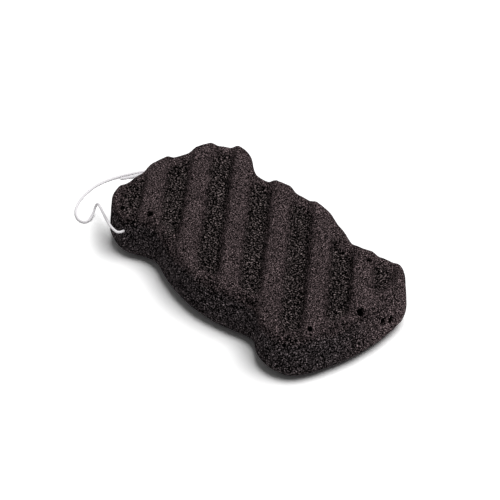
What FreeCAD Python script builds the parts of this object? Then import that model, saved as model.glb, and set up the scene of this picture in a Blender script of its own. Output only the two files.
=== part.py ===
import FreeCAD, Part
import math
import os
import Sketcher

# Konjac sponge with a knotted hanging string. Millimetres and degrees, +Z up.
# The origin lies under the middle of the foam block, whose long side follows X. The string is at the -X end.

SIZES = {
    # Foam block: plan outline at the foot, height and wall
    "sponge_length": 131.0,
    "sponge_width": 69.0,
    "sponge_height": 24.2,
    "wall_draft": 5.5,
    "corner_radius": 16.0,
    "end_radius": 78.5,
    "lobe_to_waist": 16.5,
    "waist_radius": 12.0,
    "middle_rise": 0.5,
    "rim_radius": 3.4,
    "foot_radius": 8.0,
    # Ridges: crest lines, and the troughs between them
    "ridge_pitch": 17.2,
    "ridge_angle": 137.4,
    "trough_width": 10.3,
    "trough_depth": 4.5,
    "flank_angle": 25.0,
    "trough_end_radius": 3.6,
    "floor_radius": 1.5,
    "crest_radius": 1.2,
    "rim_land": 0.2,
    # Short troughs in the two corners that the ridges cut off
    "corner_trough_depth": 2.6,
    "corner_end_radius": 2.6,
    "corner_floor_radius": 1.0,
    "short_trough_length": 25.0,
    # String and its channel through the block
    "cord_diameter": 1.0,
    "channel_clearance": 0.05,
    "channel_inset": 22.1,
    "channel_height": 14.1,
    "exit_run": 2.4,
    # Knot and its tails
    "knot_length": 4.0,
    "knot_diameter": 3.2,
    "knot_face_diameter": 2.6,
    "tail_gap": 0.3,
    "knot_run": 4.6,
    # Cutting length past a surface, and the slack for finding edges
    "overrun": 2.0,
    "slack": 0.001,
}

# Turns that show on the knot, shares of a run and of a volume, and the places that fix an arc on its edge
KNOT_TURNS = 3
ARC_RUN_SHARE = 0.45
VOLUME_SLIP_SHARE = 0.01
EDGE_SHARES = (0, 0.5, 1)

# Route of the string's loop from the front hole: X and Y from that hole, Z from the floor
FRONT_ROUTE = (
    (-3.6, -3.7, 14.8),
    (-7.8, -3.1, 15.0),
    (-13.9, -0.4, 13.4),
    (-20.0, 3.6, 10.6),
    (-25.2, 6.6, 8.3),
    (-29.4, 8.5, 6.3),
    (-31.3, 8.8, 4.5),
    (-31.1, 7.5, 2.7),
    (-29.9, 5.3, 1.3),
    (-29.3, 2.9, 0.8),
    (-30.8, 0.8, 0.6),
    (-34.0, 0.4, 0.7),
    (-38.2, 2.8, 0.6),
    (-41.9, 7.5, 0.7),
    (-44.7, 13.4, 0.6),
    (-46.3, 19.5, 0.7),
    (-46.3, 25.3, 0.6),
    (-45.1, 31.1, 0.8),
)
# Route from the knot to the back hole: X and Y from the back hole, Z from the floor
BACK_ROUTE = (
    (-31.2, -9.6, 1.0),
    (-26.8, -3.9, 1.0),
    (-20.8, 1.0, 1.6),
    (-14.2, 3.5, 4.2),
    (-8.2, 4.0, 8.0),
    (-3.6, 3.4, 11.8),
)
# Knot: its middle from the back hole, and the way that its axis points
KNOT_PLACE = (-36.2, -20.5, 1.8)
KNOT_HEADING = (0.53, 0.85, 0)
# Tails from the knot: the long one measured from the front hole, the short one from the back hole
LONG_TAIL_ROUTE = (
    (-41.3, 35.3, 0.8),
    (-43.7, 30.6, 0.6),
)
SHORT_TAIL_ROUTE = (
    (-34.6, -10.6, 0.7),
)

doc = FreeCAD.newDocument("konjac_sponge")
dims = doc.addObject("Spreadsheet::Sheet", "dims")
for row, (alias, value) in enumerate(SIZES.items(), start=1):
    dims.set(f"A{row}", alias)
    dims.set(f"B{row}", str(value))
    dims.setAlias(f"B{row}", alias)
doc.recompute()

V = FreeCAD.Vector
UP = V(0, 0, 1)


def size(alias):
    return float(dims.get(alias))


def new_sketch(body, name, role):
    plane = next(item for item in body.Origin.OriginFeatures if item.Role == role)
    sketch = body.newObject("Sketcher::SketchObject", name)
    sketch.AttachmentSupport = [(plane, "")]
    sketch.MapMode = "FlatFace"
    return sketch


def drive(sketch, kind, items, value, name, formula):
    index = sketch.addConstraint(Sketcher.Constraint(kind, *items, value))
    sketch.renameConstraint(index, name)
    sketch.setExpression(f"Constraints.{name}", formula)


def join_tangent(sketch, indices):
    # Neighbouring lines and arcs of a closed outline meet end to end, without a corner
    for first, second in zip(indices, indices[1:] + indices[:1]):
        gaps = {}
        for end, start in ((1, 1), (1, 2), (2, 1), (2, 2)):
            gaps[end, start] = (sketch.getPoint(first, end) - sketch.getPoint(second, start)).Length
        end, start = min(gaps, key=gaps.get)
        sketch.addConstraint(Sketcher.Constraint("Tangent", first, end, second, start))


def arc_between(centre, radius, start, end):
    # The shorter arc about a centre between two points on it, counter-clockwise as sketches keep it
    first = math.atan2(start.y - centre.y, start.x - centre.x)
    last = math.atan2(end.y - centre.y, end.x - centre.x)
    if (last - first) % (2 * math.pi) > math.pi:
        first, last = last, first
    if last < first:
        last += 2 * math.pi
    return Part.ArcOfCircle(Part.Circle(centre, UP, radius), first, last)


def toward(start, target, distance):
    return start + (target - start).normalize() * distance


def new_fillet(body, name, base, edges, formula):
    fillet = body.newObject("PartDesign::Fillet", name)
    fillet.Base = (base, edges)
    fillet.setExpression("Radius", formula)
    doc.recompute()
    return fillet


def names_of(shape, wanted):
    numbered = enumerate(shape.Edges, start=1)
    return [f"Edge{number}" for number, edge in numbered if any(edge.isSame(one) for one in wanted)]


def flat_edges(shape, height):
    def level(edge):
        box = edge.BoundBox
        return abs(box.ZMin - height) < size("slack") and abs(box.ZMax - height) < size("slack")
    return names_of(shape, [edge for edge in shape.Edges if level(edge)])


def top_face(shape):
    def level(face):
        box = face.BoundBox
        return box.ZLength < size("slack") and abs(box.ZMax - size("sponge_height")) < size("slack")
    return next(face for face in shape.Faces if level(face))


def must_cut(before, after, what):
    if after.Volume > before.Volume - size("slack") ** 3:
        raise RuntimeError(f"{what} cuts nothing")


# Foam block: the plan outline is a chain of tangent arcs, alike in all four quarters
half_length = size("sponge_length") / 2
half_width = size("sponge_width") / 2
corner_radius = size("corner_radius")
end_radius = size("end_radius")
waist_radius = size("waist_radius")
lobe_to_waist = size("lobe_to_waist")

end_centre = V(half_length - end_radius, 0, 0)
corner_rise = half_width - corner_radius
corner_reach = math.sqrt((end_radius - corner_radius) ** 2 - corner_rise ** 2)
corner_centre = V(end_centre.x + corner_reach, corner_rise, 0)
waist_lift = math.sqrt((corner_radius + waist_radius) ** 2 - lobe_to_waist ** 2)
waist_centre = V(corner_centre.x - lobe_to_waist, corner_rise + waist_lift, 0)
middle_top = half_width + size("middle_rise")
waist_depth = middle_top + waist_radius - waist_centre.y
middle_radius = (waist_centre.x ** 2 + waist_depth ** 2) / (2 * waist_depth) - waist_radius
middle_centre = V(0, middle_top - middle_radius, 0)

end_joint = toward(end_centre, corner_centre, end_radius)
corner_joint = toward(corner_centre, waist_centre, corner_radius)
waist_joint = toward(middle_centre, waist_centre, middle_radius)


def mirrored(point, side_x, side_y):
    return V(point.x * side_x, point.y * side_y, 0)


def quarter(side_x, side_y):
    corner = mirrored(corner_centre, side_x, side_y)
    waist = mirrored(waist_centre, side_x, side_y)
    low = mirrored(end_joint, side_x, side_y)
    mid = mirrored(corner_joint, side_x, side_y)
    high = mirrored(waist_joint, side_x, side_y)
    return [arc_between(corner, corner_radius, low, mid), arc_between(waist, waist_radius, mid, high)]


def across(centre, radius, joint, flip_x, flip_y):
    return arc_between(centre, radius, joint, mirrored(joint, flip_x, flip_y))


outline_arcs = [across(end_centre, end_radius, end_joint, 1, -1)]
outline_arcs += quarter(1, 1)
outline_arcs += [across(middle_centre, middle_radius, waist_joint, -1, 1)]
outline_arcs += quarter(-1, 1)[::-1]
outline_arcs += [across(mirrored(end_centre, -1, 1), end_radius, mirrored(end_joint, -1, 1), 1, -1)]
outline_arcs += quarter(-1, -1)
outline_arcs += [across(mirrored(middle_centre, 1, -1), middle_radius, mirrored(waist_joint, 1, -1), -1, 1)]
outline_arcs += quarter(1, -1)[::-1]

sponge = doc.addObject("PartDesign::Body", "sponge_body")
outline = new_sketch(sponge, "sponge_outline", "XY_Plane")
outline_ids = list(outline.addGeometry(outline_arcs, False))
join_tangent(outline, outline_ids)
drive(outline, "Radius", (outline_ids[0],), end_radius, "end_radius", "dims.end_radius")
drive(outline, "Radius", (outline_ids[1],), corner_radius, "corner_radius", "dims.corner_radius")
drive(outline, "Radius", (outline_ids[2],), waist_radius, "waist_radius", "dims.waist_radius")

block = sponge.newObject("PartDesign::Pad", "sponge_block")
block.Profile = outline
block.setExpression("Length", "dims.sponge_height")
block.setExpression("TaperAngle", "-dims.wall_draft")
doc.recompute()

# Troughs run across the top in parallel strips and stop short of the rim, wherever the outline lies
along = V(math.cos(math.radians(size("ridge_angle"))), math.sin(math.radians(size("ridge_angle"))), 0)
beside = along.cross(UP)
draft_slope = math.tan(math.radians(size("wall_draft")))
rim_setback = size("rim_radius") * math.tan(math.radians((90 - size("wall_draft")) / 2))
crest_setback = size("crest_radius") * math.tan(math.radians((90 - size("flank_angle")) / 2))
rim_margin = size("sponge_height") * draft_slope + rim_setback + crest_setback + size("rim_land")
field = Part.Face(outline.Shape.Wires[0]).makeOffset2D(-rim_margin)


def clipped_strip(step):
    # The stretch of one strip inside the rim, turned so that its length follows X
    edge_lines = [(step * size("ridge_pitch") + side * size("trough_width") / 2) for side in (-1, 1)]
    span = size("sponge_length")
    ends = [(-span, edge_lines[0]), (span, edge_lines[0]), (span, edge_lines[1]), (-span, edge_lines[1])]
    corner_points = [along * reach + beside * offset for reach, offset in ends]
    strip = Part.Face(Part.makePolygon(corner_points + corner_points[:1]))
    return max(field.common(strip).Faces, key=lambda face: face.Area, default=None)


def strip_size(face):
    level = face.copy()
    level.rotate(V(0, 0, 0), UP, -size("ridge_angle"))
    box = level.optimalBoundingBox()
    return box.XLength, box.YLength


def holds_trough(face, end_radius_name):
    return face is not None and min(strip_size(face)) > 2 * size(end_radius_name) + size("rim_land")


def add_trough(sketch, face, end_radius):
    # Offsetting inward and out again rounds the strip's corners
    outline_edges = face.makeOffset2D(-end_radius).makeOffset2D(end_radius).Edges
    shapes = []
    for edge in Part.__sortEdges__(outline_edges):
        places = [edge.getParameterByLength(edge.Length * share) for share in EDGE_SHARES]
        start, middle, end = [edge.valueAt(place) for place in places]
        if edge.Curve.TypeId == "Part::GeomLine":
            shapes.append(Part.LineSegment(start, end))
        else:
            shapes.append(Part.Arc(start, middle, end))
    join_tangent(sketch, list(sketch.addGeometry(shapes, False)))


def cut_troughs(name, base, faces, end_radius_name, depth_name, floor_name):
    sketch = new_sketch(sponge, f"{name}_plan", "XY_Plane")
    sketch.setExpression("AttachmentOffset.Base.z", "dims.sponge_height")
    for face in faces:
        add_trough(sketch, face, size(end_radius_name))
    pocket = sponge.newObject("PartDesign::Pocket", name)
    pocket.Profile = sketch
    pocket.setExpression("Length", f"dims.{depth_name}")
    pocket.setExpression("TaperAngle", "-dims.flank_angle")
    doc.recompute()
    must_cut(base.Shape, pocket.Shape, name)
    floor = flat_edges(pocket.Shape, size("sponge_height") - size(depth_name))
    return new_fillet(sponge, f"{name}_floor", pocket, floor, f"dims.{floor_name}")


last_step = int(size("sponge_length") / size("ridge_pitch"))
strips = [clipped_strip(step) for step in range(-last_step, last_step + 1)]
strips = [face for face in strips if holds_trough(face, "corner_end_radius")]
long_strips = [face for face in strips if strip_size(face)[0] > size("short_trough_length")]
short_strips = [face for face in strips if strip_size(face)[0] <= size("short_trough_length")]
carved = cut_troughs("troughs", block, long_strips, "trough_end_radius", "trough_depth", "floor_radius")
if short_strips:
    corner_names = ("corner_end_radius", "corner_trough_depth", "corner_floor_radius")
    carved = cut_troughs("corner_troughs", carved, short_strips, *corner_names)

# Crests, rim and foot are rounded
crown = top_face(carved.Shape)
crest_edges = [edge for wire in crown.Wires if not wire.isSame(crown.OuterWire) for edge in wire.Edges]
crests = new_fillet(sponge, "crests", carved, names_of(carved.Shape, crest_edges), "dims.crest_radius")
rim_edges = names_of(crests.Shape, top_face(crests.Shape).OuterWire.Edges)
rim = new_fillet(sponge, "rim", crests, rim_edges, "dims.rim_radius")
foot = new_fillet(sponge, "foot", rim, flat_edges(rim.Shape, 0), "dims.foot_radius")

# Channel for the string, straight across the width near the -X end
channel_x = size("channel_inset") - half_length
exit_reach = half_width - size("channel_height") * draft_slope
front_hole = V(channel_x, -exit_reach, size("channel_height"))
back_hole = V(channel_x, exit_reach, size("channel_height"))


def add_bore_circle(body, name, radius, formula):
    sketch = new_sketch(body, name, "XZ_Plane")
    circle = Part.Circle(V(channel_x, size("channel_height"), 0), UP, radius)
    index = sketch.addGeometry(circle, False)
    drive(sketch, "Radius", (index,), radius, "bore_radius", formula)
    from_middle = "dims.channel_inset - dims.sponge_length / 2"
    drive(sketch, "DistanceX", (-1, 1, index, 3), channel_x, "from_middle", from_middle)
    drive(sketch, "DistanceY", (-1, 1, index, 3), size("channel_height"), "from_floor", "dims.channel_height")
    return sketch


cord_radius = size("cord_diameter") / 2
bore_radius = cord_radius + size("channel_clearance")
bore_formula = "dims.cord_diameter / 2 + dims.channel_clearance"
channel = sponge.newObject("PartDesign::Pocket", "channel")
channel.Profile = add_bore_circle(sponge, "channel_section", bore_radius, bore_formula)
channel.Midplane = True
channel.setExpression("Length", "dims.sponge_width + 2 * dims.overrun")
doc.recompute()
must_cut(foot.Shape, channel.Shape, "channel")
sponge.Tip = channel

# Stretch of string in the channel
inner_run = doc.addObject("PartDesign::Body", "cord_inner_run")
inner_pad = inner_run.newObject("PartDesign::Pad", "inner_stretch")
inner_pad.Profile = add_bore_circle(inner_run, "inner_section", cord_radius, "dims.cord_diameter / 2")
inner_pad.Midplane = True
inner_pad.setExpression("Length", "dims.sponge_width - 2 * dims.channel_height * tan(dims.wall_draft)")
doc.recompute()


def rounded_path(points):
    # Straight runs joined by tangent arcs, each as large as its two runs allow
    edges = []
    radii = []
    start = points[0]
    for before, corner, after in zip(points, points[1:], points[2:]):
        back = (before - corner).normalize()
        ahead = (after - corner).normalize()
        turn = math.pi - back.getAngle(ahead)
        reach = ARC_RUN_SHARE * min((before - corner).Length, (after - corner).Length)
        radius = reach / math.tan(turn / 2)
        enter = corner + back * reach
        leave = corner + ahead * reach
        inward = (back + ahead).normalize()
        middle = corner + inward * (radius / math.cos(turn / 2) - radius)
        edges.append(Part.LineSegment(start, enter).toShape())
        edges.append(Part.Arc(enter, middle, leave).toShape())
        radii.append(round(radius, 1))
        start = leave
    edges.append(Part.LineSegment(start, points[-1]).toShape())
    return Part.Wire(edges), radii


def add_tube(label, points):
    wire, radii = rounded_path(points)
    path = doc.addObject("Part::Feature", f"{label}_path")
    path.Shape = wire
    section = doc.addObject("Part::Circle", f"{label}_section")
    section.setExpression("Radius", "dims.cord_diameter / 2")
    section.Placement = FreeCAD.Placement(points[0], FreeCAD.Rotation(UP, points[1] - points[0]))
    tube = doc.addObject("Part::Sweep", label)
    tube.Sections = [section]
    tube.Spine = (path, [f"Edge{i}" for i in range(1, len(wire.Edges) + 1)])
    tube.Solid = True
    doc.recompute()
    whole = math.pi * cord_radius ** 2 * wire.Length
    if abs(tube.Shape.Volume / whole - 1) > VOLUME_SLIP_SHARE:
        raise RuntimeError(f"{label} volume {tube.Shape.Volume} against {whole}")
    print(f"{label}: {wire.Length:.1f} long, bend radii {radii}")
    return tube


# Knot: a barrel of tight turns. The string enters beside its axis, with a tail on the axis's other side
def from_hole(hole, place):
    return V(hole.x + place[0], hole.y + place[1], place[2])


knot_middle = from_hole(back_hole, KNOT_PLACE)
heading = V(*KNOT_HEADING).normalize()
knot_side = UP.cross(heading).normalize() * (cord_radius + size("tail_gap") / 2)
half_knot = heading * (size("knot_length") / 2)
knot_run = heading * size("knot_run")

knot = doc.addObject("PartDesign::Body", "cord_knot")
knot_section = new_sketch(knot, "knot_section", "XZ_Plane")
face_radius = size("knot_face_diameter") / 2
turn_width = size("knot_length") / KNOT_TURNS
knot_start = -size("knot_length") / 2
profile = [Part.LineSegment(V(knot_start, 0, 0), V(knot_start, face_radius, 0))]
for number in range(KNOT_TURNS):
    left = knot_start + number * turn_width
    top = V(left + turn_width / 2, size("knot_diameter") / 2, 0)
    profile.append(Part.Arc(V(left, face_radius, 0), top, V(left + turn_width, face_radius, 0)))
profile.append(Part.LineSegment(V(-knot_start, face_radius, 0), V(-knot_start, 0, 0)))
profile.append(Part.LineSegment(V(-knot_start, 0, 0), V(knot_start, 0, 0)))
knot_section.addGeometry(profile, False)
barrel = knot.newObject("PartDesign::Revolution", "knot_barrel")
barrel.Profile = knot_section
barrel.ReferenceAxis = (knot_section, ["H_Axis"])
doc.recompute()
knot.Placement = FreeCAD.Placement(knot_middle, FreeCAD.Rotation(V(1, 0, 0), heading))

# Free stretches of the string and the knot's tails
exit_step = V(0, size("exit_run"), 0)
loop_end = knot_middle - half_knot + knot_side
loop_points = [front_hole, front_hole - exit_step]
loop_points += [from_hole(front_hole, place) for place in FRONT_ROUTE]
loop_points += [loop_end - knot_run, loop_end]
loop = add_tube("cord_loop", loop_points)

back_start = knot_middle + half_knot - knot_side
back_points = [back_start, back_start + knot_run]
back_points += [from_hole(back_hole, place) for place in BACK_ROUTE]
back_points += [back_hole + exit_step, back_hole]
back_run = add_tube("cord_back_run", back_points)

long_start = knot_middle - half_knot - knot_side
long_points = [long_start, long_start - knot_run]
long_points += [from_hole(front_hole, place) for place in LONG_TAIL_ROUTE]
tail_long = add_tube("cord_tail_long", long_points)

short_start = knot_middle + half_knot + knot_side
short_points = [short_start, short_start + knot_run]
short_points += [from_hole(back_hole, place) for place in SHORT_TAIL_ROUTE]
tail_short = add_tube("cord_tail_short", short_points)

# Nothing is written unless every object was built and every piece is one sound solid
doc.recompute()
for item in doc.Objects:
    if "Invalid" in item.State or "Error" in item.State:
        raise RuntimeError(f"{item.Name} failed: {item.State}")
pieces = [sponge, inner_run, loop, knot, back_run, tail_long, tail_short]
for piece in pieces:
    if piece.Shape.isNull() or not piece.Shape.isValid() or len(piece.Shape.Solids) != 1:
        raise RuntimeError(f"{piece.Label} is not one valid solid")

os.makedirs("parts", exist_ok=True)
for piece in pieces:
    piece.Shape.exportStep(f"parts/{piece.Label}.step")
    box = piece.Shape.optimalBoundingBox()
    extents = [round(value, 2) for value in (box.XMin, box.YMin, box.ZMin, box.XMax, box.YMax, box.ZMax)]
    print(f"{piece.Label}: {piece.Shape.Volume:.2f} cubic mm, box {extents}")
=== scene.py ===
import math

import bmesh
import bpy
import numpy as np
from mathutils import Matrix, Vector


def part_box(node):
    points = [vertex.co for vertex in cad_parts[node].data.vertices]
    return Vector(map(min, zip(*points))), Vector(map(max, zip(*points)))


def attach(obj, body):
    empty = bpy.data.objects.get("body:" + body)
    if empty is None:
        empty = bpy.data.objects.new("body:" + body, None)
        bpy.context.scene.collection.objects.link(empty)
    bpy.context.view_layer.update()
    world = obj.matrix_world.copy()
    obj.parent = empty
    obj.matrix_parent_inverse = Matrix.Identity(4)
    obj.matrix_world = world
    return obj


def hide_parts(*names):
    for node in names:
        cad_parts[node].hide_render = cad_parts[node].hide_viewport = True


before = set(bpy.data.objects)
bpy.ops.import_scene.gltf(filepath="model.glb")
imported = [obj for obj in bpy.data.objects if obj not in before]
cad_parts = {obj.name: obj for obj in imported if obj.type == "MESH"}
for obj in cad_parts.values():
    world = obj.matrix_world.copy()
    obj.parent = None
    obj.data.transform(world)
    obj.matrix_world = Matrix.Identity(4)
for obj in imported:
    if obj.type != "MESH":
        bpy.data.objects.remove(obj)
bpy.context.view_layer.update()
print("frame loaded:", sorted(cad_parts))


# small helpers for node trees and meshes
def addNode(tree, kind, feeds=None, **settings):
    made = tree.nodes.new(kind)
    for name, value in settings.items():
        setattr(made, name, value)
    for socket, feed in (feeds or {}).items():
        if isinstance(feed, bpy.types.NodeSocket):
            tree.links.new(feed, made.inputs[socket])
        else:
            made.inputs[socket].default_value = feed
    return made


def sums(tree, operation, first, second=0.0, third=0.0):
    return addNode(tree, "ShaderNodeMath", {0: first, 1: second, 2: third}, operation=operation).outputs[0]


def times(tree, first, second):
    return sums(tree, "MULTIPLY", first, second)


def less(tree, first, second):
    return sums(tree, "SUBTRACT", first, second)


def over(tree, first, second):
    return sums(tree, "DIVIDE", first, second)


def larger(tree, first, second):
    return sums(tree, "MAXIMUM", first, second)


def ease(tree, value, low, high):  # smooth step from 0 at low to 1 at high
    feeds = {"Value": value, "From Min": low, "From Max": high}
    return addNode(tree, "ShaderNodeMapRange", feeds, interpolation_type="SMOOTHSTEP").outputs["Result"]


def mixValue(tree, share, first, second):
    return addNode(tree, "ShaderNodeMix", {0: share, 2: first, 3: second}).outputs[0]


def mixColour(tree, share, first, second):
    colours = [c if isinstance(c, bpy.types.NodeSocket) else (*c, 1) for c in (first, second)]
    feeds = {0: share, 6: colours[0], 7: colours[1]}
    return addNode(tree, "ShaderNodeMix", feeds, data_type="RGBA").outputs[2]


def scaled(tree, vector, amount):
    return addNode(tree, "ShaderNodeVectorMath", {0: vector, "Scale": amount}, operation="SCALE").outputs[0]


noiseMiddle = 0.5  # the noise's values lie on both sides of it


def noise(tree, place, scale, detail):
    feeds = {"Vector": place, "Scale": scale, "Detail": detail}
    return addNode(tree, "ShaderNodeTexNoise", feeds).outputs["Fac"]


def cellDistance(tree, place, scale):
    return addNode(tree, "ShaderNodeTexVoronoi", {"Vector": place, "Scale": scale}).outputs["Distance"]


def storeMark(tree, geometry, name, value):
    feeds = {"Geometry": geometry, "Name": name, "Value": value}
    return addNode(tree, "GeometryNodeStoreNamedAttribute", feeds, data_type="FLOAT").outputs[0]


def readMark(tree, name):
    return addNode(tree, "ShaderNodeAttribute", attribute_name=name).outputs["Fac"]


def movePoints(tree, geometry, offset):
    return addNode(tree, "GeometryNodeSetPosition", {"Geometry": geometry, "Offset": offset}).outputs[0]


socketKinds = {int: "Int", float: "Float", tuple: "Vector"}


def newNodeGroup(name, values):  # a tree with a named input for each value, and one for the material
    tree = bpy.data.node_groups.new(name, "GeometryNodeTree")
    kinds = {label: socketKinds[type(value)] for label, value in values.items()}
    for label, kind in {"Geometry": "Geometry", **kinds, "Material": "Material"}.items():
        tree.interface.new_socket(label, in_out="INPUT", socket_type=f"NodeSocket{kind}")
    tree.interface.new_socket("Geometry", in_out="OUTPUT", socket_type="NodeSocketGeometry")
    return tree, tree.nodes.new("NodeGroupInput").outputs


def closeNodeGroup(tree, geometry, material):
    realized = addNode(tree, "GeometryNodeRealizeInstances", {"Geometry": geometry}).outputs[0]
    painted = addNode(tree, "GeometryNodeSetMaterial", {"Geometry": realized, "Material": material})
    addNode(tree, "NodeGroupOutput", {"Geometry": painted.outputs[0]})


def addNodesModifier(obj, tree, values):
    modifier = obj.modifiers.new(tree.name, "NODES")
    modifier.node_group = tree
    for item in tree.interface.items_tree:
        if item.in_out == "INPUT" and item.name in values:
            modifier[item.identifier] = values[item.name]


def linkNew(name, data):
    obj = bpy.data.objects.new(name, data)
    bpy.context.scene.collection.objects.link(obj)
    return obj


def plainMesh(obj):  # what the modifiers give, as a mesh of its own
    graph = bpy.context.evaluated_depsgraph_get()
    return bpy.data.meshes.new_from_object(obj.evaluated_get(graph), depsgraph=graph)


def newMaterial(name):
    material = bpy.data.materials.new(name)
    material.use_nodes = True
    tree = material.node_tree
    return material, tree, tree.nodes["Principled BSDF"]


def finishShader(tree, shader, colour, height, values):
    relief = addNode(tree, "ShaderNodeBump", {
        "Height": height, "Strength": values["bump"], "Distance": values["bumpHeight"]})
    tree.links.new(colour, shader.inputs["Base Color"])
    tree.links.new(relief.outputs[0], shader.inputs["Normal"])
    shader.inputs["Roughness"].default_value = values["roughness"]


# camera at the photograph's viewing angle
cameraSet = {
    "azimuth": 51.09,  # degrees
    "elevation": 38.43,
    "distance": 0.960,
    "aim": (0, 0, 0.015),
    "lens": 174.67,  # mm
    "sensor": 36,
    "shift": (-0.0111, -0.001),
}


def addCamera():
    data = bpy.data.cameras.new("photoCamera")
    data.sensor_width = cameraSet["sensor"]
    data.lens = cameraSet["lens"]
    data.shift_x, data.shift_y = cameraSet["shift"]
    camera = linkNew("photoCamera", data)
    turn, rise = math.radians(cameraSet["azimuth"]), math.radians(cameraSet["elevation"])
    back = Vector((math.sin(turn) * math.cos(rise), -math.cos(turn) * math.cos(rise), math.sin(rise)))
    camera.location = Vector(cameraSet["aim"]) + back * cameraSet["distance"]
    camera.rotation_euler = (-back).to_track_quat("-Z", "Y").to_euler()
    bpy.context.scene.camera = camera


addCamera()
print("camera set")


# white cotton string: its material, and the plies that twist along a spline
cottonSet = {
    "colour": (0.92, 0.90, 0.92),
    "shadeColour": (0.82, 0.79, 0.82),
    "shadeEdge": (0.3, 0.6),  # noise values where the shade starts to fade and where it is gone
    "fibresAround": 9.0,
    "fibreLength": 0.0022,
    "fibreDetail": 3.0,
    "roughness": 0.88,
    "bump": 0.35,
    "bumpHeight": 0.0001,
}
twistSet = {
    "Diameter": 0.0011,
    "Lay": 0.0026,  # length of one full twist
    "Plies": 3,
    "Ply Relief": 0.16,  # groove depth as a share of the radius
    "Step": 0.00022,
    "Sides": 20,
}


def cottonMaterial():
    material, tree, shader = newMaterial("whiteCotton")
    along, around = readMark(tree, "along"), readMark(tree, "around")
    stretched = addNode(tree, "ShaderNodeCombineXYZ", {
        "X": over(tree, along, cottonSet["fibreLength"]),
        "Y": times(tree, sums(tree, "SINE", around), cottonSet["fibresAround"]),
        "Z": times(tree, sums(tree, "COSINE", around), cottonSet["fibresAround"]),
    }).outputs[0]
    fibres = noise(tree, stretched, 1.0, cottonSet["fibreDetail"])
    lit = ease(tree, fibres, *cottonSet["shadeEdge"])
    colour = mixColour(tree, lit, cottonSet["shadeColour"], cottonSet["colour"])
    finishShader(tree, shader, colour, fibres, cottonSet)
    return material


def twistTree():
    tree, given = newNodeGroup("twistedPlies", twistSet)
    # the section: a ring with one bulge per ply
    ring = addNode(tree, "GeometryNodeCurvePrimitiveCircle", {
        "Resolution": given["Sides"], "Radius": times(tree, given["Diameter"], 0.5)}).outputs["Curve"]
    place = tree.nodes.new("GeometryNodeInputPosition").outputs[0]
    split = addNode(tree, "ShaderNodeSeparateXYZ", {0: place}).outputs
    angle = sums(tree, "ARCTAN2", split["Y"], split["X"])
    plyAngle = times(tree, angle, times(tree, given["Plies"], 0.5))
    bulge = sums(tree, "ABSOLUTE", sums(tree, "COSINE", plyAngle))
    groove = times(tree, given["Ply Relief"], less(tree, 1.0, bulge))
    shaped = scaled(tree, place, less(tree, 1.0, groove))
    section = addNode(tree, "GeometryNodeSetPosition", {
        "Geometry": storeMark(tree, ring, "around", angle), "Position": shaped}).outputs[0]
    # the path turns the section as it goes
    even = addNode(tree, "GeometryNodeResampleCurve", {
        "Curve": given["Geometry"], "Length": given["Step"]}, mode="LENGTH").outputs[0]
    length = tree.nodes.new("GeometryNodeSplineParameter").outputs["Length"]
    turn = times(tree, over(tree, length, given["Lay"]), 2 * math.pi)
    tilted = addNode(tree, "GeometryNodeSetCurveTilt", {
        "Curve": storeMark(tree, even, "along", length), "Tilt": turn}).outputs[0]
    tube = addNode(tree, "GeometryNodeCurveToMesh", {
        "Curve": tilted, "Profile Curve": section, "Fill Caps": True}).outputs[0]
    closeNodeGroup(tree, tube, given["Material"])
    return tree


cotton = cottonMaterial()
plies = twistTree()
splineSet = {"order": 3, "steps": 16}


def splineCurve(name, points):
    data = bpy.data.curves.new(name, "CURVE")
    data.dimensions = "3D"
    data.resolution_u = splineSet["steps"]
    spline = data.splines.new("NURBS")
    spline.points.add(len(points) - 1)
    for point, place in zip(spline.points, points):
        point.co = (*place, 1)
    spline.order_u = splineSet["order"]
    spline.use_endpoint_u = True
    return linkNew(name, data)


def twistAlong(name, points):  # a mesh string along the spline, and the line that it follows
    guide = splineCurve(f"{name}Guide", points)
    line = [tuple(vertex.co) for vertex in plainMesh(guide).vertices]
    addNodesModifier(guide, plies, {**twistSet, "Material": cotton})
    mesh = plainMesh(guide)
    mesh.name = name
    mesh.shade_smooth()
    bpy.data.objects.remove(guide)
    string = linkNew(name, mesh)
    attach(string, "cord")
    return string, line


# the string's route, in metres: X and Y from the hole that it starts at, Z from the floor
routeSet = {
    "frontExit": 0.0022,
    "backExit": 0.0012,
    "front": (
        (-0.0030, -0.0030, 0.0150), (-0.0081, -0.0016, 0.0147), (-0.0142, 0.0011, 0.0129),
        (-0.0201, 0.0041, 0.0105), (-0.0254, 0.0068, 0.0082), (-0.0298, 0.0088, 0.0062),
        (-0.0309, 0.0083, 0.0043), (-0.0300, 0.0067, 0.0024), (-0.0286, 0.0041, 0.0012),
        (-0.0285, 0.0011, 0.0007), (-0.0318, 0.0000, 0.0006), (-0.0370, 0.0022, 0.0006),
        (-0.0414, 0.0069, 0.0006), (-0.0445, 0.0131, 0.0006), (-0.0463, 0.0195, 0.0006),
        (-0.0463, 0.0253, 0.0006), (-0.0451, 0.0311, 0.0008),
    ),
    "back": (
        (-0.0312, -0.0096, 0.0010), (-0.0268, -0.0039, 0.0010), (-0.0208, 0.0010, 0.0016),
        (-0.0142, 0.0033, 0.0042), (-0.0084, 0.0032, 0.0080), (-0.0040, 0.0022, 0.0116),
    ),
    "longTail": ((-0.0413, 0.0353, 0.0008), (-0.0437, 0.0306, 0.0006)),  # from the front hole
    "shortTail": ((-0.0346, -0.0106, 0.0007),),  # from the back hole
}
knotSet = {
    "place": (-0.0362, -0.0205, 0.0018),  # from the back hole
    "heading": (0.53, 0.85, 0),
    "length": 0.004,
    "diameter": 0.0032,
    "run": 0.0046,  # straight stretch of string on each side
    "tailGap": 0.0003,
    "tailTuck": 0.3,  # how much of a run's length a tail reaches into the knot
    "turns": 3,
    "pointsPerTurn": 12,
    "endReach": 0.35,  # the tucked ends' share of the turns' radius
    "endPoints": 4,  # points over which the ends come out by one radius
}

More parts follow.
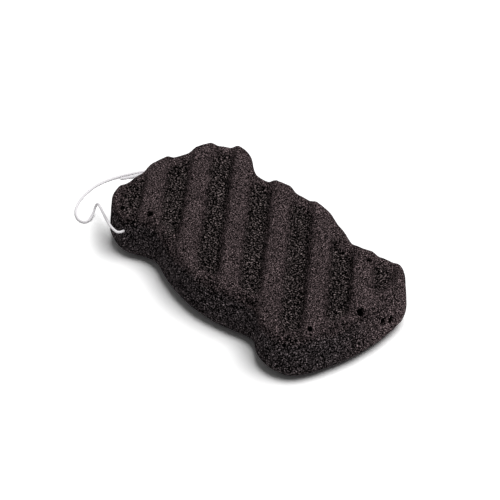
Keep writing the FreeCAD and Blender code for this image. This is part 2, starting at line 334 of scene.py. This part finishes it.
channelLow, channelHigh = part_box("cord_inner_run")
channelMiddle = (channelLow + channelHigh) / 2
frontHole = Vector((channelMiddle.x, channelLow.y, channelMiddle.z))
backHole = Vector((channelMiddle.x, channelHigh.y, channelMiddle.z))
stringRadius = twistSet["Diameter"] / 2


def fromHole(hole, places):
    return [Vector((hole.x + x, hole.y + y, z)) for x, y, z in places]


frontExit = frontHole - Vector((0, routeSet["frontExit"], 0))
backExit = backHole + Vector((0, routeSet["backExit"], 0))
knotMiddle = fromHole(backHole, [knotSet["place"]])[0]
heading = Vector(knotSet["heading"]).normalized()
upward = Vector((0, 0, 1))
sideways = upward.cross(heading)
knotSide = sideways * (stringRadius + knotSet["tailGap"] / 2)
halfKnot = heading * knotSet["length"] / 2
knotRun = heading * knotSet["run"]


def buildString():
    loopEnd = knotMiddle - halfKnot + knotSide
    backStart = knotMiddle + halfKnot - knotSide
    route = [frontHole, frontExit, *fromHole(frontHole, routeSet["front"])]
    route += [loopEnd - knotRun, loopEnd, backStart, backStart + knotRun]
    route += [*fromHole(backHole, routeSet["back"]), backExit, backHole]
    string, line = twistAlong("hangingString", route)
    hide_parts("cord_loop", "cord_back_run")
    inside, _ = twistAlong("stringInChannel", [frontHole, channelMiddle, backHole])
    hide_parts("cord_inner_run")
    return string, line


def buildTurns():  # turns wound round the two strands, with both ends tucked in
    wrapRadius = knotSet["diameter"] / 2 - stringRadius
    travel = knotSet["length"] / 2 - stringRadius
    count = knotSet["turns"] * knotSet["pointsPerTurn"]
    wraps = []
    for number in range(count + 1):
        share = number / count
        angle = share * knotSet["turns"] * 2 * math.pi
        fromEnd = min(number, count - number)
        reach = wrapRadius * min(1, knotSet["endReach"] + fromEnd / knotSet["endPoints"])
        out = sideways * math.cos(angle) + upward * math.sin(angle)
        wraps.append(knotMiddle + heading * travel * (2 * share - 1) + out * reach)
    knot, _ = twistAlong("stringKnot", wraps)
    return knot


def buildTail(name, start, run, places):
    tail, _ = twistAlong(name, [start - run * knotSet["tailTuck"], start + run, *places])
    return tail


def buildKnot():
    knot = buildTurns()
    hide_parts("cord_knot")
    longStart = knotMiddle - halfKnot - knotSide
    longTail = buildTail("knotTailLong", longStart, -knotRun, fromHole(frontHole, routeSet["longTail"]))
    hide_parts("cord_tail_long")
    shortStart = knotMiddle + halfKnot + knotSide
    shortTail = buildTail("knotTailShort", shortStart, knotRun, fromHole(backHole, routeSet["shortTail"]))
    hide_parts("cord_tail_short")
    return [knot, longTail, shortTail]


string, stringLine = buildString()
knotPieces = buildKnot()


# charcoal foam: its material, and the ridged and porous skin of the block
foamSet = {
    "crestColour": (0.0400, 0.0300, 0.0309),
    # the troughs' colour: darker open foam, and partly painted shade in the troughs
    "troughColourAndShade": (0.0120, 0.0097, 0.0096),
    "wallColour": (0.0256, 0.0213, 0.0223),
    # near black: painted shade inside the pores and the larger holes
    "poreShadeColour": (0.0010, 0.0008, 0.0008),
    "crestGrain": 0.00045,
    "troughGrain": 0.00068,
    "grainDetail": 1.0,
    "crestContrast": 7.5,  # spread of the grain's brightness
    "troughContrast": 15.0,
    "wallContrast": 13.0,
    "wallFineness": 0.5,  # the walls' grain, from 0 as in the troughs to 1 as on the crests
    "grainGamma": 2.2,
    "poreSize": 0.0008,
    "poreEdge": (0.26, 0.50),  # where a pore's dark middle ends and its wall starts, in pore sizes
    "crestPoreShade": 0.75,  # how dark the pores are on the crests
    "roughness": 0.95,
    "gloss": 0.0,
    "bump": 0.5,
    "bumpHeight": 0.00015,
}
acrossRidges = math.radians(46.9)  # from +X, square to the ridges
skinSet = {
    "Top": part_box("sponge_body")[1].z,
    "Noise Detail": 2.0,
    # distances from the rim are measured to a band of the wall, given in shares of the height
    "Band Middle": 0.45,
    "Band Reach": 0.1,
    "Wall Inset": 0.0013,  # how far the rim lies inside that band
    # ridges and troughs
    "Across": (math.cos(acrossRidges), math.sin(acrossRidges), 0),
    "Pitch": 0.0172,
    "Shift": 0.0001,  # from the block's middle to the middle trough's
    "Crest Edge": -0.65,  # where the wave's cosine leaves the crest and reaches the trough's floor
    "Floor Edge": 0.75,
    "Trough Depth": 0.0045,
    "Rim Share": 0.48,  # how much of the depth is left at the rim
    "Rim Width": 0.0022,
    "Full Depth": 0.0085,  # distance from the rim
    "Fill From": 0.00315,  # distance from the rim where the block's own troughs are filled first
    "Fill Above": 0.7,  # only above this share of the height
    "Wave From": 0.6,  # shares of the height where the waves start and are full
    "Wave Full": 0.95,
    # finer skin on the crests, painted sheen over the back rim, and at the ends finer skin with painted
    # light
    "Wall Skin": 0.7,  # shares of the height where the wall's look ends and the top's is full
    "Top Skin": 0.95,
    "Open From": 0.8,  # shares of the trough depth where the skin is gone and where it is whole
    "Skin Full": 0.1,
    "Patch Size": 0.0035,  # how the skin is broken up at its edges
    "Patch Share": 1.6,
    "Rim Sheen": 0.55,  # how far painted sheen lightens the troughs at the back rim
    "Rim Sheen From": -0.03,  # Y of its start, and of its full strength
    "Rim Sheen Full": 0.02,
    "End Skin And Light From": 0.056,  # distance from the middle where the ends' finer skin and painted light start
    "End Skin And Light Full": 0.070,
    "End Skin And Light Slant": 0.5,  # how much sooner it starts towards the back
    "End Skin And Light Share": 0.95,
    "End Trough": 0.5,  # how much of it the troughs take away
    # soft lumps, and pores
    "Lump Size": 0.011,
    "Lump Middle": 0.45,  # noise value that stays in place
    "Lump Height": 0.0012,  # from the deepest hollow to the highest lump
    "Pore Size": foamSet["poreSize"],
    "Pore Depth": 0.00032,
    "Pore Floor": 0.1,  # where a pore's floor ends and its wall is up, in pore sizes
    "Pore Wall": 0.55,
    "Foot Height": 0.002,  # up to here the foam stays flatter, to rest on the floor
}
blockSet = {"voxel": 0.0004, "mergeGap": 1e-6}
pitSet = {
    "places": (  # X, Y, Z and radius of the larger holes
        (0.0626, 0.0007, 0.0231, 0.00140), (0.0632, 0.0116, 0.0128, 0.00130),
        (0.0627, 0.0162, 0.0111, 0.00130), (0.0417, 0.0229, 0.0244, 0.00100),
        (0.0585, -0.0210, 0.0233, 0.00095), (-0.0353, -0.0252, 0.0236, 0.00110),
    ),
    "lip": 1.25,  # the rest in radii
    "slope": 0.6,
    "depth": 1.6,
    # painted shade inside a hole: gone at darkTo radii, full from darkFade radii further in
    "darkTo": 1.3,
    "darkFade": 0.2,
    "leanReach": 2,  # the surface round a hole that gives its direction
}


def foamMaterial():
    material, tree, shader = newMaterial("charcoalFoam")
    place = tree.nodes.new("ShaderNodeTexCoord").outputs["Object"]
    crest, wall, pit = [readMark(tree, name) for name in ("crest", "wall", "pit")]
    # grain: fine on the crests, coarse in the troughs, between the two on the walls
    fine = noise(tree, place, 1 / foamSet["crestGrain"], foamSet["grainDetail"])
    coarse = noise(tree, place, 1 / foamSet["troughGrain"], foamSet["grainDetail"])
    fineness = larger(tree, crest, times(tree, wall, foamSet["wallFineness"]))
    topContrast = mixValue(tree, crest, foamSet["troughContrast"], foamSet["crestContrast"])
    contrast = mixValue(tree, wall, topContrast, foamSet["wallContrast"])
    grain = mixValue(tree, fineness, coarse, fine)
    tone = times(tree, less(tree, grain, noiseMiddle), contrast)
    gain = sums(tree, "POWER", larger(tree, sums(tree, "ADD", tone, 1.0), 0.0), foamSet["grainGamma"])
    # colour: lighter skin, darker open foam with painted shade in the troughs, and pores and holes painted
    # black as their shade
    openFoamAndShade = mixColour(tree, wall, foamSet["troughColourAndShade"], foamSet["wallColour"])
    plain = mixColour(tree, crest, openFoamAndShade, foamSet["crestColour"])
    # painted shade: the pores and the sunk holes are painted near black
    cells = cellDistance(tree, place, 1 / foamSet["poreSize"])
    pore = less(tree, 1.0, ease(tree, cells, *foamSet["poreEdge"]))
    poreShadeShare = mixValue(tree, crest, 1.0, foamSet["crestPoreShade"])
    hole = larger(tree, times(tree, pore, poreShadeShare), pit)
    colour = mixColour(tree, hole, scaled(tree, plain, gain), foamSet["poreShadeColour"])
    finishShader(tree, shader, colour, less(tree, tone, hole), foamSet)
    shader.inputs["Specular IOR Level"].default_value = foamSet["gloss"]
    return material


def skinTree():
    tree, given = newNodeGroup("foamSkin", skinSet)
    place = tree.nodes.new("GeometryNodeInputPosition").outputs[0]
    split = addNode(tree, "ShaderNodeSeparateXYZ", {0: place}).outputs
    height = split["Z"]

    def heightAt(name):  # from a share of the block's height
        return times(tree, given["Top"], given[name])

    # distance in from the rim, measured level to a band of the wall
    bandMiddle = heightAt("Band Middle")
    inBand = sums(tree, "COMPARE", height, bandMiddle, heightAt("Band Reach"))
    band = addNode(tree, "GeometryNodeSeparateGeometry", {
        "Geometry": given["Geometry"], "Selection": inBand}).outputs["Selection"]
    level = addNode(tree, "ShaderNodeCombineXYZ", {
        "X": split["X"], "Y": split["Y"], "Z": bandMiddle}).outputs[0]
    near = addNode(tree, "GeometryNodeProximity", {
        "Geometry": band, "Sample Position": level}, target_element="FACES")
    inward = less(tree, near.outputs["Distance"], given["Wall Inset"])

    # the top without its troughs, then soft waves sunk into it
    pastRim = sums(tree, "GREATER_THAN", inward, given["Fill From"])
    onTop = times(tree, pastRim, sums(tree, "GREATER_THAN", height, heightAt("Fill Above")))
    blockTop = mixValue(tree, onTop, height, given["Top"])
    across = addNode(tree, "ShaderNodeVectorMath", {0: place, 1: given["Across"]}, operation="DOT_PRODUCT")
    steps = over(tree, less(tree, across.outputs["Value"], given["Shift"]), given["Pitch"])
    wave = sums(tree, "COSINE", times(tree, steps, 2 * math.pi))
    trough = ease(tree, wave, given["Crest Edge"], given["Floor Edge"])
    runOut = ease(tree, inward, given["Rim Width"], given["Full Depth"])
    depthLost = less(tree, 1.0, given["Rim Share"])
    share = times(tree, trough, sums(tree, "ADD", given["Rim Share"], times(tree, runOut, depthLost)))
    sunk = times(tree, share, ease(tree, blockTop, heightAt("Wave From"), heightAt("Wave Full")))
    wavedTop = less(tree, blockTop, times(tree, sunk, given["Trough Depth"]))
    lift = addNode(tree, "ShaderNodeCombineXYZ", {"Z": less(tree, wavedTop, height)}).outputs[0]

    # marks for the material: finer skin, with painted light at the ends and painted sheen at the back rim,
    # and walls
    aboveWall = ease(tree, blockTop, heightAt("Wall Skin"), heightAt("Top Skin"))
    patches = noise(tree, place, over(tree, 1.0, given["Patch Size"]), given["Noise Detail"])
    patchy = times(tree, less(tree, patches, noiseMiddle), given["Patch Share"])
    # painted sheen: along the back rim the troughs take the crests' lighter colour
    atBack = ease(tree, split["Y"], given["Rim Sheen From"], given["Rim Sheen Full"])
    atRim = ease(tree, inward, given["Full Depth"], given["Rim Width"])
    rimSheen = times(tree, times(tree, given["Rim Sheen"], atBack), atRim)
    bare = less(tree, sums(tree, "ADD", share, patchy), rimSheen)
    onCrest = times(tree, ease(tree, bare, given["Open From"], given["Skin Full"]), aboveWall)
    # lighter towards both ends, and sooner towards the back: partly finer skin, partly painted light
    outward = sums(tree, "ABSOLUTE", split["X"])
    endward = sums(tree, "MULTIPLY_ADD", split["Y"], given["End Skin And Light Slant"], outward)
    onEnd = ease(tree, endward, given["End Skin And Light From"], given["End Skin And Light Full"])
    endKept = less(tree, 1.0, times(tree, sunk, given["End Trough"]))
    endSkinAndLight = times(tree, times(tree, onEnd, given["End Skin And Light Share"]), endKept)
    marked = storeMark(tree, given["Geometry"], "crest", larger(tree, onCrest, endSkinAndLight))
    marked = storeMark(tree, marked, "wall", less(tree, 1.0, aboveWall))
    waved = movePoints(tree, marked, lift)

    # soft lumps and pores follow the surface
    normal = tree.nodes.new("GeometryNodeInputNormal").outputs[0]
    lumps = noise(tree, place, over(tree, 1.0, given["Lump Size"]), given["Noise Detail"])
    swell = times(tree, less(tree, lumps, given["Lump Middle"]), given["Lump Height"])
    cells = cellDistance(tree, place, over(tree, 1.0, given["Pore Size"]))
    pore = less(tree, 1.0, ease(tree, cells, given["Pore Floor"], given["Pore Wall"]))
    bump = less(tree, swell, times(tree, pore, given["Pore Depth"]))
    move = times(tree, ease(tree, height, 0.0, given["Foot Height"]), bump)
    pored = movePoints(tree, waved, scaled(tree, normal, move))
    closeNodeGroup(tree, pored, given["Material"])
    return tree


def sinkPits(mesh):
    count = len(mesh.vertices)
    places = np.empty(count * 3)
    normals = np.empty(count * 3)
    mesh.vertices.foreach_get("co", places)
    mesh.vertex_normals.foreach_get("vector", normals)
    places = places.reshape(-1, 3)
    normals = normals.reshape(-1, 3)
    dark = np.zeros(count)
    for x, y, z, radius in pitSet["places"]:
        nearest = np.argmin(((places - (x, y, z)) ** 2).sum(axis=1))
        away = np.sqrt(((places - places[nearest]) ** 2).sum(axis=1)) / radius
        inward = -normals[away < pitSet["leanReach"]].mean(axis=0)
        share = np.clip((pitSet["lip"] - away) / pitSet["slope"], 0, 1)
        share = share * share * (3 - 2 * share)  # smooth step
        # painted shade inside the sunk hole, kept as the pit mark
        dark = np.maximum(dark, np.clip((pitSet["darkTo"] - away) / pitSet["darkFade"], 0, 1))
        places = places + inward * (share * radius * pitSet["depth"])[:, None]
    mesh.vertices.foreach_set("co", places.ravel())
    mesh.attributes.new("pit", "FLOAT", "POINT").data.foreach_set("value", dark)
    mesh.update()


def buildSponge():
    shell = linkNew("spongeShell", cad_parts["sponge_body"].data.copy())
    joined = bmesh.new()
    joined.from_mesh(shell.data)
    bmesh.ops.remove_doubles(joined, verts=joined.verts, dist=blockSet["mergeGap"])
    joined.to_mesh(shell.data)
    joined.free()
    shell.data.materials.clear()
    remesh = shell.modifiers.new("evenMesh", "REMESH")
    remesh.mode = "VOXEL"
    remesh.voxel_size = blockSet["voxel"]
    addNodesModifier(shell, skinTree(), {**skinSet, "Material": foamMaterial()})
    mesh = plainMesh(shell)
    mesh.name = "foamSponge"
    sinkPits(mesh)
    mesh.shade_smooth()
    bpy.data.objects.remove(shell)
    sponge = linkNew("foamSponge", mesh)
    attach(sponge, "sponge")
    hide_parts("sponge_body")
    print("sponge made:", len(mesh.polygons), "faces")


buildSponge()


# white floor and soft studio light
stageSet = {
    "floorSize": 6.0,
    "floorColour": (0.86, 0.86, 0.86),
    "seenColour": (1.22, 1.22, 1.22),  # what the camera sees of the floor, so that full light is white
    "floorRoughness": 1.0,
    "floorGloss": 0.0,
    "worldColour": (1, 1, 1),
    "worldLight": 0.12,
    "seenLight": 1.0,  # what the camera sees of the world
    "sunStrength": 2.88,
    "sunSoftness": 42.0,  # degrees
    "sunFrom": (0.24, 0.15, 0.96),
}


def backgroundRays(tree):  # 1 where the camera, a reflection or glass looks at the surroundings
    rays = tree.nodes.new("ShaderNodeLightPath").outputs
    mirrored = larger(tree, rays["Is Glossy Ray"], rays["Is Transmission Ray"])
    return larger(tree, rays["Is Camera Ray"], mirrored)


def addFloor():
    material, tree, shader = newMaterial("paleFloor")
    colour = mixColour(tree, backgroundRays(tree), stageSet["floorColour"], stageSet["seenColour"])
    tree.links.new(colour, shader.inputs["Base Color"])
    shader.inputs["Roughness"].default_value = stageSet["floorRoughness"]
    shader.inputs["Specular IOR Level"].default_value = stageSet["floorGloss"]
    half = stageSet["floorSize"] / 2
    corners = [(-half, -half, 0), (half, -half, 0), (half, half, 0), (-half, half, 0)]
    mesh = bpy.data.meshes.new("floor")
    mesh.from_pydata(corners, [], [(0, 1, 2, 3)])
    mesh.materials.append(material)
    linkNew("floor", mesh)


def addLights():
    world = bpy.data.worlds.new("studio")
    bpy.context.scene.world = world
    world.use_nodes = True
    tree = world.node_tree
    strength = mixValue(tree, backgroundRays(tree), stageSet["worldLight"], stageSet["seenLight"])
    backdrop = tree.nodes["Background"]
    backdrop.inputs["Color"].default_value = (*stageSet["worldColour"], 1)
    tree.links.new(strength, backdrop.inputs["Strength"])
    sun = bpy.data.lights.new("softKey", "SUN")
    sun.energy = stageSet["sunStrength"]
    sun.angle = math.radians(stageSet["sunSoftness"])
    key = linkNew("softKey", sun)
    key.rotation_euler = Vector(stageSet["sunFrom"]).to_track_quat("Z", "Y").to_euler()
    bpy.context.scene.view_settings.view_transform = "Standard"


addFloor()
addLights()
print("stage set")
